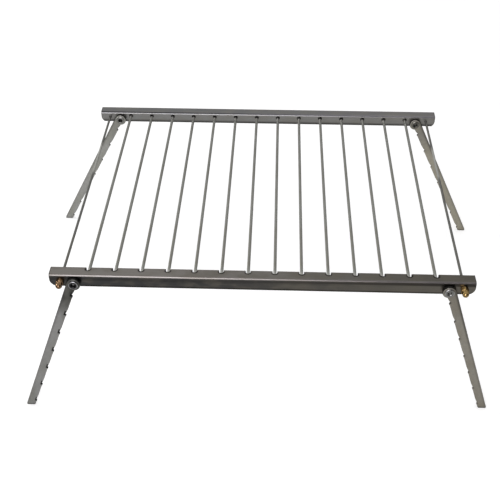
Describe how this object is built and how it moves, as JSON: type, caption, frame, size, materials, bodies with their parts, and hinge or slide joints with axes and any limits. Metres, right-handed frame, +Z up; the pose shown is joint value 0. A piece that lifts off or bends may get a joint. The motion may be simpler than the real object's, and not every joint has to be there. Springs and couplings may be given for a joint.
{
  "type": "folding camp grill",
  "caption": "Folding camp grill: a grate of loose round rods between two channel rails, held by tie rods with cap nuts, on notched flat legs that splay out and fold in along the rails.",
  "frame": {"origin": "on the ground, under the middle of the grill", "axes": "+X along the rails, to the right as seen from the front; +Y from the front rail to the back rail; +Z up"},
  "size_m": [0.4162, 0.2691, 0.1375],
  "materials": {
    "rail_steel": "satin, dark",
    "rod_steel": "drawn wire, satin",
    "tie_rod_steel": "drawn wire, dark",
    "leg_steel": "tumbled, satin",
    "rivet_steel": "bright",
    "washer_steel": "blackened",
    "brass": "turned, warm"
  },
  "bodies": {
    "grill_frame": {"back_rail": "rail_steel", "front_rail": "rail_steel", "nut_back_left": "brass", "nut_back_right": "brass", "nut_front_left": "brass", "nut_front_right": "brass", "rivet_back_left": "rivet_steel", "rivet_back_right": "rivet_steel", "rivet_front_left": "rivet_steel", "rivet_front_right": "rivet_steel", "tie_rod_left": "tie_rod_steel", "tie_rod_right": "tie_rod_steel", "washer_back_left": "washer_steel", "washer_back_right": "washer_steel", "washer_front_left": "washer_steel", "washer_front_right": "washer_steel"},
    "leg_back_left": {"leg_back_left": "leg_steel"},
    "leg_back_right": {"leg_back_right": "leg_steel"},
    "leg_front_left": {"leg_front_left": "leg_steel"},
    "leg_front_right": {"leg_front_right": "leg_steel"},
    "grill_rod_01": {"grill_rod_01": "rod_steel"},
    "grill_rod_02": {"grill_rod_02": "rod_steel"},
    "grill_rod_03": {"grill_rod_03": "rod_steel"},
    "grill_rod_04": {"grill_rod_04": "rod_steel"},
    "grill_rod_05": {"grill_rod_05": "rod_steel"},
    "grill_rod_06": {"grill_rod_06": "rod_steel"},
    "grill_rod_07": {"grill_rod_07": "rod_steel"},
    "grill_rod_08": {"grill_rod_08": "rod_steel"},
    "grill_rod_09": {"grill_rod_09": "rod_steel"},
    "grill_rod_10": {"grill_rod_10": "rod_steel"},
    "grill_rod_11": {"grill_rod_11": "rod_steel"},
    "grill_rod_12": {"grill_rod_12": "rod_steel"},
    "grill_rod_13": {"grill_rod_13": "rod_steel"},
    "grill_rod_14": {"grill_rod_14": "rod_steel"}
  },
  "joints": [
    {"name": "leg_back_left_fold", "type": "hinge", "parent": "grill_frame", "child": "leg_back_left", "pos_m": [-0.13984, 0.11873, 0.12226], "axis": [0.0002, -0.9999, -0.0141], "range_deg": [-30.9, 117.6]},
    {"name": "leg_back_right_fold", "type": "hinge", "parent": "grill_frame", "child": "leg_back_right", "pos_m": [0.14296, 0.11875, 0.12386], "axis": [0.0001, 0.9996, -0.0278], "range_deg": [-33.02, 115.48]},
    {"name": "leg_front_left_fold", "type": "hinge", "parent": "grill_frame", "child": "leg_front_left", "pos_m": [-0.13986, -0.12568, 0.12907], "axis": [-0.0003, -0.9982, 0.0592], "range_deg": [-20.9, 110.6]},
    {"name": "leg_front_right_fold", "type": "hinge", "parent": "grill_frame", "child": "leg_front_right", "pos_m": [0.14184, -0.12565, 0.13065], "axis": [-0.0002, 0.9998, 0.0175], "range_deg": [-23.2, 108.3]},
    {"name": "grill_rod_01_lift", "type": "hinge", "parent": "grill_frame", "child": "grill_rod_01", "pos_m": [-0.12975, 0.12197, 0.12373], "axis": [-1, -0.0001, -0.0056], "range_deg": [0, 20]},
    {"name": "grill_rod_02_lift", "type": "hinge", "parent": "grill_frame", "child": "grill_rod_02", "pos_m": [-0.10955, 0.12197, 0.12384], "axis": [-1, -0.0001, -0.0056], "range_deg": [0, 20]},
    {"name": "grill_rod_03_lift", "type": "hinge", "parent": "grill_frame", "child": "grill_rod_03", "pos_m": [-0.08935, 0.12197, 0.12396], "axis": [-1, -0.0001, -0.0056], "range_deg": [0, 20]},
    {"name": "grill_rod_04_lift", "type": "hinge", "parent": "grill_frame", "child": "grill_rod_04", "pos_m": [-0.06915, 0.12198, 0.12407], "axis": [-1, -0.0001, -0.0056], "range_deg": [0, 20]},
    {"name": "grill_rod_05_lift", "type": "hinge", "parent": "grill_frame", "child": "grill_rod_05", "pos_m": [-0.04895, 0.12198, 0.12418], "axis": [-1, -0.0001, -0.0056], "range_deg": [0, 20]},
    {"name": "grill_rod_06_lift", "type": "hinge", "parent": "grill_frame", "child": "grill_rod_06", "pos_m": [-0.02875, 0.12198, 0.1243], "axis": [-1, -0.0001, -0.0056], "range_deg": [0, 20]},
    {"name": "grill_rod_07_lift", "type": "hinge", "parent": "grill_frame", "child": "grill_rod_07", "pos_m": [-0.00855, 0.12198, 0.12441], "axis": [-1, -0.0001, -0.0056], "range_deg": [0, 20]},
    {"name": "grill_rod_08_lift", "type": "hinge", "parent": "grill_frame", "child": "grill_rod_08", "pos_m": [0.01165, 0.12198, 0.12453], "axis": [-1, -0.0001, -0.0056], "range_deg": [0, 20]},
    {"name": "grill_rod_09_lift", "type": "hinge", "parent": "grill_frame", "child": "grill_rod_09", "pos_m": [0.03185, 0.12198, 0.12464], "axis": [-1, -0.0001, -0.0056], "range_deg": [0, 20]},
    {"name": "grill_rod_10_lift", "type": "hinge", "parent": "grill_frame", "child": "grill_rod_10", "pos_m": [0.05205, 0.12198, 0.12475], "axis": [-1, -0.0001, -0.0056], "range_deg": [0, 20]},
    {"name": "grill_rod_11_lift", "type": "hinge", "parent": "grill_frame", "child": "grill_rod_11", "pos_m": [0.07225, 0.12199, 0.12487], "axis": [-1, -0.0001, -0.0056], "range_deg": [0, 20]},
    {"name": "grill_rod_12_lift", "type": "hinge", "parent": "grill_frame", "child": "grill_rod_12", "pos_m": [0.09245, 0.12199, 0.12498], "axis": [-1, -0.0001, -0.0056], "range_deg": [0, 20]},
    {"name": "grill_rod_13_lift", "type": "hinge", "parent": "grill_frame", "child": "grill_rod_13", "pos_m": [0.11265, 0.12199, 0.1251], "axis": [-1, -0.0001, -0.0056], "range_deg": [0, 20]},
    {"name": "grill_rod_14_lift", "type": "hinge", "parent": "grill_frame", "child": "grill_rod_14", "pos_m": [0.13285, 0.12199, 0.12521], "axis": [-1, -0.0001, -0.0056], "range_deg": [0, 20]}
  ]
}
